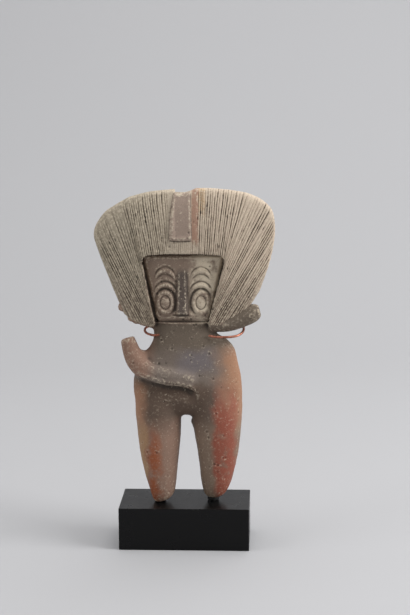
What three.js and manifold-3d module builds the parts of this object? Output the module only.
// A small terracotta figure of a woman with a wide, fan-shaped, combed headdress.
// She stands on a low black socle. Millimetres, +Z up, front towards -Y.
// The origin is the centre of the socle's underside. Left and right are the viewer's.
import * as THREE from 'three';
import { mergeVertices } from 'three/addons/utils/BufferGeometryUtils.js';
import Module from 'manifold-3d';

const wasm = await Module();
wasm.setup();

// Driving dimensions
const gap = 0.3;
const socle = { width: 68, depth: 35, height: 22.5, edge: 0.4 };
const pad = { radius: 3.1, height: 1.9, leftX: -13.4, rightX: 14.8, y: -0.9 };
const wire = { radius: 0.65, sides: 8, steps: 60 };
const hair = { strands: 48, comb: 0.55, front: 6.2, back: 4.4, rim: 2.1 };
const face = { bottom: 118.6, top: 154.6, halfWidth: 18.5, plane: -5.4 };
const strip = { left: -5.8, right: 4.6, bottom: 161, proud: 1.2 };
// The worn notch in the rim over the strip, as an outline from the front. Its floor rises to the right.
const notch = {
  outline: [[-4.1, 185.7], [1, 185.6], [3.8, 186.4], [7.3, 187.9], [7.3, 192], [-4.1, 192]],
  reach: 30,
};

// Each station of a body mass gives its level, its left and right edge and its front and back.
const torsoStations = [
  { z: 69, left: -10, right: 14, front: -2.5, back: 2.5 },
  { z: 70.2, left: -18, right: 22, front: -6, back: 6 },
  { z: 74, left: -24.6, right: 28.6, front: -9, back: 8.6 },
  { z: 79, left: -26.6, right: 30.4, front: -10.9, back: 10 },
  { z: 84, left: -27, right: 30.4, front: -11.5, back: 10.6 },
  { z: 91, left: -26.4, right: 29.6, front: -10.4, back: 9.6 },
  { z: 99, left: -22.5, right: 27.8, front: -9.2, back: 8.8 },
  { z: 105, left: -18.4, right: 26.3, front: -8.2, back: 8.2 },
  { z: 109.5, left: -16.2, right: 22, front: -7.2, back: 7.6 },
  { z: 113, left: -15.8, right: 15.8, front: -6.4, back: 7 },
  { z: 123, left: -14.6, right: 14.8, front: -5, back: 6.5 },
];
const leftLegStations = [
  { z: 88, left: -22, right: -5, front: -7, back: 7.5 },
  { z: 82, left: -25.4, right: -3, front: -10.2, back: 12 },
  { z: 73, left: -26.2, right: -1.9, front: -11.6, back: 13.4 },
  { z: 65, left: -25.6, right: -1.8, front: -12, back: 12.4 },
  { z: 57, left: -24.7, right: -2, front: -11.9, back: 10.8 },
  { z: 47, left: -23.5, right: -3, front: -11.6, back: 9.2 },
  { z: 34, left: -20.3, right: -4.4, front: -10.8, back: 6.2 },
  { z: 27, left: -18.1, right: -5.4, front: -9.9, back: 3.6 },
  { z: 24, left: -16.8, right: -8.6, front: -8.9, back: 1.4 },
  { z: 22.9, left: -15.9, right: -12.4, front: -7.6, back: -4.6 },
];
const rightLegStations = [
  { z: 88, left: 7, right: 26, front: -7, back: 7.5 },
  { z: 82, left: 4.8, right: 29.6, front: -10.2, back: 12 },
  { z: 73, left: 3.6, right: 30.5, front: -11.6, back: 13.4 },
  { z: 65, left: 4.1, right: 30, front: -12, back: 12.4 },
  { z: 57, left: 5.2, right: 29.3, front: -11.9, back: 10.8 },
  { z: 47, left: 6.9, right: 28, front: -10.8, back: 9.6 },
  { z: 34, left: 8.1, right: 24.9, front: -9, back: 7.4 },
  { z: 28, left: 9.3, right: 22.4, front: -7.8, back: 5.8 },
  { z: 25.4, left: 10.6, right: 19.9, front: -6.2, back: 4.2 },
  { z: 24.6, left: 12, right: 17.6, front: -4.6, back: 2.8 },
];
// The head block behind the face. It ends in the overhang of the chin.
const headStations = [
  { z: face.bottom, left: -15.4, right: 14.4, front: face.plane - 1.6, back: 5 },
  { z: 121, left: -17.3, right: 16.8, front: face.plane - 1.8, back: 5 },
  { z: 130, left: -19, right: 18.8, front: face.plane - 0.9, back: 5 },
  { z: 142, left: -20.9, right: 20.7, front: face.plane - 0.4, back: 5 },
  { z: 152, left: -22, right: 22, front: face.plane, back: 5 },
  { z: 157, left: -22, right: 22, front: face.plane, back: 5 },
];
// The one arm: a raised forearm on the belly, the elbow at the side and the broken upper end.
const armStations = [
  { x: 6.4, y: -9.2, z: 88.6, across: 2, deep: 1.4 },
  { x: 4.2, y: -9.6, z: 89.2, across: 4.1, deep: 3 },
  { x: -6, y: -10, z: 91, across: 4.6, deep: 3.8 },
  { x: -17, y: -8.8, z: 92.9, across: 5, deep: 4.4 },
  { x: -23.6, y: -5.8, z: 97, across: 5.6, deep: 4.8 },
  { x: -27.2, y: -3.8, z: 103.2, across: 4.8, deep: 4.5 },
  { x: -29.2, y: -3, z: 110.3, across: 4.1, deep: 4 },
];
// The worn lobe at the lower right of the headdress, ending in the stub of an ear ornament.
const stubStations = [
  { x: 13, y: -1.6, z: 117, across: 3.4, deep: 4.6 },
  { x: 22, y: -1.8, z: 117.6, across: 4.2, deep: 5 },
  { x: 31, y: -1.8, z: 121, across: 4.6, deep: 4.6 },
  { x: 36.6, y: -1.8, z: 123.6, across: 4.1, deep: 4.1 },
  { x: 39.4, y: -1.8, z: 124.5, across: 2.6, deep: 2.6 },
];
// Worn lumps: the ragged lobe at the lower left, the join of the hair and the neck at the
// right, the back of the head, a lump in the crotch and the web between the arm and the side.
const lumps = [
  { x: -32.2, y: -0.6, z: 129.4, rx: 2.4, ry: 3, rz: 3.2 },
  { x: -30, y: -0.6, z: 124, rx: 3, ry: 3.2, rz: 2.6 },
  { x: -25.2, y: -0.6, z: 120.4, rx: 3.8, ry: 3.6, rz: 2.4 },
  { x: -18, y: 0, z: 118.2, rx: 3.8, ry: 4.8, rz: 3.6 },
  { x: 16.8, y: 0.2, z: 120, rx: 3.6, ry: 5, rz: 3.8 },
  { x: 0, y: 3.4, z: 138, rx: 24, ry: 6, rz: 26 },
  { x: 6.4, y: 3.5, z: 63.8, rx: 3.5, ry: 4, rz: 4.8 },
  { x: -20.8, y: -3, z: 101, rx: 3, ry: 3.4, rz: 3 },
];
// The copper wire lies round the neck as one open loop. It runs from its tip at the front left,
// round the nape, to its tip at the front right, and stands off the clay at both sides.
const wirePath = [
  [-12.6, -6.7, 112.6], [-15, -5.6, 112.1], [-17.4, -3.6, 112.1], [-19.5, -1, 112.4],
  [-20.6, 1.6, 113.2], [-20.2, 4.4, 114.2], [-17.6, 7, 114.8], [-12, 8.7, 114.8],
  [-3, 9.4, 114.6], [7, 9.4, 114.8], [17, 8.7, 115.2], [25, 7, 115.6],
  [29.8, 3.8, 115.6], [31, 0.4, 114.8], [30.4, -3.2, 113.4], [28.2, -6, 112.3],
  [24.6, -7.6, 111.8], [20, -7.9, 111.7], [16, -7.4, 111.8], [13.2, -6.6, 112.2],
];
// Where a lock of hair leaves the head, and where it ends on the rim, from left to right.
const hairPairs = [
  { root: [-31.6, 124.4], tip: [-37, 138] },
  { root: [-28, 120.8], tip: [-44, 156] },
  { root: [-21.4, 118], tip: [-46, 165.6] },
  { root: [-15, 117.6], tip: [-41.2, 174.6] },
  { root: [-16.8, 128], tip: [-34.6, 179.4] },
  { root: [-19.2, 141], tip: [-30.4, 181.8] },
  { root: [-20.4, 152.2], tip: [-26.4, 183.6] },
  { root: [-12, 154.4], tip: [-16.5, 186.1] },
  { root: [0, 154.6], tip: [-0.5, 187.4] },
  { root: [12, 154.4], tip: [13.8, 187.7] },
  { root: [20.8, 152.2], tip: [26.8, 186.4] },
  { root: [18.8, 141], tip: [34, 184.8] },
  { root: [15.2, 128], tip: [40.8, 181.4] },
  { root: [13.2, 118.6], tip: [45.8, 175.8] },
  { root: [17.8, 117.2], tip: [47.1, 165.4] },
  { root: [25, 118.8], tip: [44.9, 151.4] },
  { root: [32.4, 123.8], tip: [39.4, 134.8] },
];

// Joins rings of points, in order, into one closed skin with a fan over each end.
function skin(rings) {
  const sides = rings[0].length;
  const points = rings.flat();
  const faces = [];
  for (let ring = 0; ring + 1 < rings.length; ring += 1) {
    for (let side = 0; side < sides; side += 1) {
      const a = ring * sides + side;
      const b = ring * sides + (side + 1) % sides;
      faces.push(a, b, b + sides, a, b + sides, a + sides);
    }
  }
  for (const [ring, turned] of [[0, true], [rings.length - 1, false]]) {
    const middle = new THREE.Vector3();
    rings[ring].forEach((point) => middle.addScaledVector(point, 1 / sides));
    points.push(middle);
    for (let side = 0; side < sides; side += 1) {
      const a = ring * sides + side;
      const b = ring * sides + (side + 1) % sides;
      faces.push(...(turned ? [b, a] : [a, b]), points.length - 1);
    }
  }
  const geometry = new THREE.BufferGeometry().setFromPoints(points);
  geometry.setIndex(faces);
  return geometry;
}

// Turns a closed geometry into a solid for cutting and joining, with its faces pointing out.
function solid(geometry) {
  const bare = geometry.clone();
  bare.deleteAttribute('normal');
  bare.deleteAttribute('uv');
  const merged = mergeVertices(bare, 1e-4);
  const vertProperties = new Float32Array(merged.attributes.position.array);
  const triVerts = new Uint32Array(merged.index.array);
  const corner = [new THREE.Vector3(), new THREE.Vector3(), new THREE.Vector3()];
  let sixVolumes = 0;
  for (let at = 0; at < triVerts.length; at += 3) {
    corner.forEach((point, which) => point.fromArray(vertProperties, 3 * triVerts[at + which]));
    sixVolumes += corner[0].dot(corner[1].clone().cross(corner[2]));
  }
  for (let at = 0; sixVolumes < 0 && at < triVerts.length; at += 3) {
    [triVerts[at], triVerts[at + 1]] = [triVerts[at + 1], triVerts[at]];
  }
  return new wasm.Manifold(new wasm.Mesh({ numProp: 3, vertProperties, triVerts }));
}

// Gives a finished solid back as a named mesh.
function mesh(name, body, material) {
  const result = body.getMesh();
  const geometry = new THREE.BufferGeometry();
  geometry.setAttribute('position', new THREE.BufferAttribute(new Float32Array(result.vertProperties), 3));
  geometry.setIndex(new THREE.BufferAttribute(new Uint32Array(result.triVerts), 1));
  geometry.computeVertexNormals();
  const piece = new THREE.Mesh(geometry, material);
  piece.name = name;
  return piece;
}

// A rounded-square unit outline: power 2 is an ellipse, more is squarer.
function unitOutline(sides, power) {
  const bend = (value) => Math.sign(value) * Math.abs(value) ** (2 / power);
  return Array.from({ length: sides }, (unused, side) => {
    const angle = (2 * Math.PI * side) / sides;
    return [bend(Math.cos(angle)), bend(Math.sin(angle))];
  });
}

// A body mass with level sections, smooth between its stations.
function levelMass(stations, rows, sides, power) {
  const outline = unitOutline(sides, power);
  const middles = stations.map(({ z, left, right, front, back }) => (
    new THREE.Vector3((left + right) / 2, (front + back) / 2, z)
  ));
  const halves = stations.map(({ left, right, front, back }) => (
    new THREE.Vector3((right - left) / 2, (back - front) / 2, 0)
  ));
  const middleCurve = new THREE.CatmullRomCurve3(middles);
  const halfCurve = new THREE.CatmullRomCurve3(halves);
  return solid(skin(Array.from({ length: rows + 1 }, (unused, row) => {
    const middle = middleCurve.getPoint(row / rows);
    const half = halfCurve.getPoint(row / rows);
    return outline.map(([across, deep]) => (
      new THREE.Vector3(middle.x + half.x * across, middle.y + half.y * deep, middle.z)
    ));
  })));
}

// A limb whose sections stand square to its path, with its depth along Y.
function limb(stations, rows, sides) {
  const outline = unitOutline(sides, 2.2);
  const path = new THREE.CatmullRomCurve3(stations.map(({ x, y, z }) => new THREE.Vector3(x, y, z)));
  const sizes = new THREE.CatmullRomCurve3(
    stations.map(({ across, deep }) => new THREE.Vector3(across, deep, 0)),
  );
  return solid(skin(Array.from({ length: rows + 1 }, (unused, row) => {
    const middle = path.getPoint(row / rows);
    const size = sizes.getPoint(row / rows);
    const ahead = path.getTangent(row / rows);
    const depthWay = new THREE.Vector3(0, 1, 0).addScaledVector(ahead, -ahead.y).normalize();
    const sideWay = depthWay.clone().cross(ahead);
    return outline.map(([across, deep]) => (
      middle.clone().addScaledVector(sideWay, size.x * across).addScaledVector(depthWay, size.y * deep)
    ));
  })));
}

function lump({ x, y, z, rx, ry, rz }) {
  const ball = new THREE.SphereGeometry(1, 12, 9);
  return solid(ball.scale(rx, ry, rz).translate(x, y, z));
}

// How far the front of the headdress stands forward, from the roots at 0 to the rim at 1.
function hairFront(step) {
  return -hair.rim - hair.front * Math.max(0, 1 - step ** 2.2) ** 0.75;
}

// The headdress: a horseshoe of combed locks round the face. Every second column of the skin
// lies deeper, so the front is fluted, and the flutes fade out towards the rim and the back.
function headdress() {
  const spline = (key) => new THREE.SplineCurve(hairPairs.map((pair) => new THREE.Vector2(...pair[key])));
  const roots = spline('root');
  const tips = spline('tip');
  const frontSteps = [0, 0.12, 0.34, 0.56, 0.76, 0.9, 0.975];
  const backSteps = [0.985, 0.9, 0.6, 0.2, 0];
  const columns = 2 * hair.strands;
  return solid(skin(Array.from({ length: columns + 1 }, (unused, column) => {
    const along = column / columns;
    const root = roots.getPoint(along);
    const tip = tips.getPoint(along);
    const fullness = 0.5 + 0.5 * Math.min(1, 5 * Math.min(along, 1 - along));
    const flute = column % 2 ? hair.comb : 0;
    const at = (step, y) => {
      const place = root.clone().lerp(tip, step);
      return new THREE.Vector3(place.x, y, place.y);
    };
    const front = frontSteps.map((step) => at(step, fullness * hairFront(step) + flute * (1 - step ** 4)));
    const back = backSteps.map((step) => (
      at(step, fullness * (hair.rim + hair.back * (1 - step ** 2.2) ** 0.75))
    ));
    return [...front, at(1, 0), ...back];
  })));
}

// The raised strip up the middle of the headdress, with a rounded lower lip.
function centreStrip() {
  const top = hairPairs[8].tip[1];
  const base = hairPairs[8].root[1];
  const middle = (strip.left + strip.right) / 2;
  const halfWidth = (strip.right - strip.left) / 2;
  const steps = [0, 0.035, 0.08, 0.25, 0.45, 0.65, 0.82, 0.94];
  return solid(skin(steps.map((step, row) => {
    const z = strip.bottom + step * (top - strip.bottom);
    const half = halfWidth * [0.55, 0.86, 1][Math.min(row, 2)];
    const front = hairFront((z - base) / (top - base)) - strip.proud * [0.4, 0.9, 1][Math.min(row, 2)];
    const section = [
      [-half, 0], [-half, front + 0.4], [-half + 0.6, front],
      [half - 0.6, front + 0.2], [half, front + 0.7], [half, 0],
    ];
    return section.map(([x, y]) => new THREE.Vector3(middle + x, y, z));
  })));
}

function rimNotch() {
  const outline = new THREE.Shape(notch.outline.map(([x, z]) => new THREE.Vector2(x, z)));
  const block = new THREE.ExtrudeGeometry(outline, { depth: notch.reach, bevelEnabled: false });
  return solid(block.rotateX(Math.PI / 2).translate(0, notch.reach / 2, 0));
}

// The face is laid out in simple fractions of its panel.
function faceRelief() {
  const height = face.top - face.bottom;
  const pieces = [];
  const nose = { half: 2.3, top: face.bottom + 0.78 * height, foot: face.bottom + 0.16 * height };
  pieces.push(limb([
    { x: 0, y: face.plane + 0.6, z: nose.top, across: nose.half * 0.7, deep: 1 },
    { x: 0, y: face.plane, z: face.bottom + 0.5 * height, across: nose.half * 0.9, deep: 2 },
    { x: 0, y: face.plane - 0.6, z: nose.foot + 2, across: nose.half * 1.15, deep: 2.8 },
    { x: 0, y: face.plane - 0.4, z: nose.foot, across: nose.half * 0.9, deep: 1.8 },
  ], 7, 8));
  for (const side of [-1, 1]) {
    const eyeX = side * 0.5 * face.halfWidth;
    const eyeZ = face.bottom + 0.3 * height;
    pieces.push(lump({ x: eyeX, y: face.plane - 0.4, z: eyeZ, rx: 3.4, ry: 1.9, rz: 4.6 }));
    for (const [level, lift, thick] of [[0.78, 0, 0.9], [0.5, 0.2, 1]]) {
      const browZ = face.bottom + level * height;
      const reach = 0.36 * face.halfWidth;
      pieces.push(limb([
        { x: eyeX - reach, y: face.plane - lift, z: browZ - 3, across: thick * 0.6, deep: 0.7 },
        { x: eyeX - reach / 2, y: face.plane - lift, z: browZ - 0.6, across: thick, deep: 1.1 },
        { x: eyeX + reach / 2, y: face.plane - lift, z: browZ - 0.6, across: thick, deep: 1.1 },
        { x: eyeX + reach, y: face.plane - lift, z: browZ - 3, across: thick * 0.6, deep: 0.7 },
      ], 6, 6));
    }
  }
  return pieces;
}

function neckWire() {
  const path = new THREE.CatmullRomCurve3(wirePath.map((point) => new THREE.Vector3(...point)));
  const section = new THREE.Shape(unitOutline(wire.sides, 2).map(([across, up]) => (
    new THREE.Vector2(wire.radius * across, wire.radius * up)
  )));
  return solid(new THREE.ExtrudeGeometry(section, { extrudePath: path, steps: wire.steps }));
}

function disc(radius, height) {
  return new THREE.CylinderGeometry(radius, radius, height, 24).rotateX(Math.PI / 2);
}

function footPad(x) {
  return solid(disc(pad.radius, pad.height).translate(x, pad.y, socle.height + gap + pad.height / 2));
}

// The room that a pad takes in the underside of a foot.
function padPocket(x) {
  const reach = pad.height + 2 * gap + 6;
  const top = socle.height + 2 * gap + pad.height;
  return solid(disc(pad.radius + gap, reach).translate(x, pad.y, top - reach / 2));
}

function figureSolid() {
  const masses = [
    levelMass(torsoStations, 22, 24, 2.5),
    levelMass(leftLegStations, 15, 16, 2.2),
    levelMass(rightLegStations, 15, 16, 2.2),
    levelMass(headStations, 8, 24, 4),
    limb(armStations, 14, 12),
    limb(stubStations, 8, 12),
    headdress(),
    centreStrip(),
    ...lumps.map(lump),
    ...faceRelief(),
  ];
  const cuts = [
    rimNotch(),
    padPocket(pad.leftX),
    padPocket(pad.rightX),
  ];
  const whole = masses.reduce((sum, mass) => sum.add(mass));
  return cuts.reduce((rest, cut) => rest.subtract(cut), whole);
}

function socleSolid() {
  const { width, depth, height, edge } = socle;
  const outline = new THREE.Shape();
  outline.moveTo(-width / 2 + edge, -depth / 2 + edge);
  outline.lineTo(width / 2 - edge, -depth / 2 + edge);
  outline.lineTo(width / 2 - edge, depth / 2 - edge);
  outline.lineTo(-width / 2 + edge, depth / 2 - edge);
  outline.closePath();
  const block = new THREE.ExtrudeGeometry(outline, {
    depth: height - 2 * edge, bevelThickness: edge, bevelSize: edge, bevelSegments: 1,
  });
  return solid(block.translate(0, 0, edge));
}

const terracotta = new THREE.MeshStandardMaterial({ color: 0x8d7160, roughness: 0.9, metalness: 0 });
const copper = new THREE.MeshStandardMaterial({ color: 0xb07a68, roughness: 0.35, metalness: 1 });
const black = new THREE.MeshStandardMaterial({ color: 0x1b1b1d, roughness: 0.45, metalness: 0 });
const rubber = new THREE.MeshStandardMaterial({ color: 0x101010, roughness: 0.8, metalness: 0 });

const statuette = new THREE.Group();
statuette.add(
  mesh('figure', figureSolid(), terracotta),
  mesh('neck_wire', neckWire(), copper),
  mesh('foot_pad_left', footPad(pad.leftX), rubber),
  mesh('foot_pad_right', footPad(pad.rightX), rubber),
  mesh('socle', socleSolid(), black),
);

export default statuette;
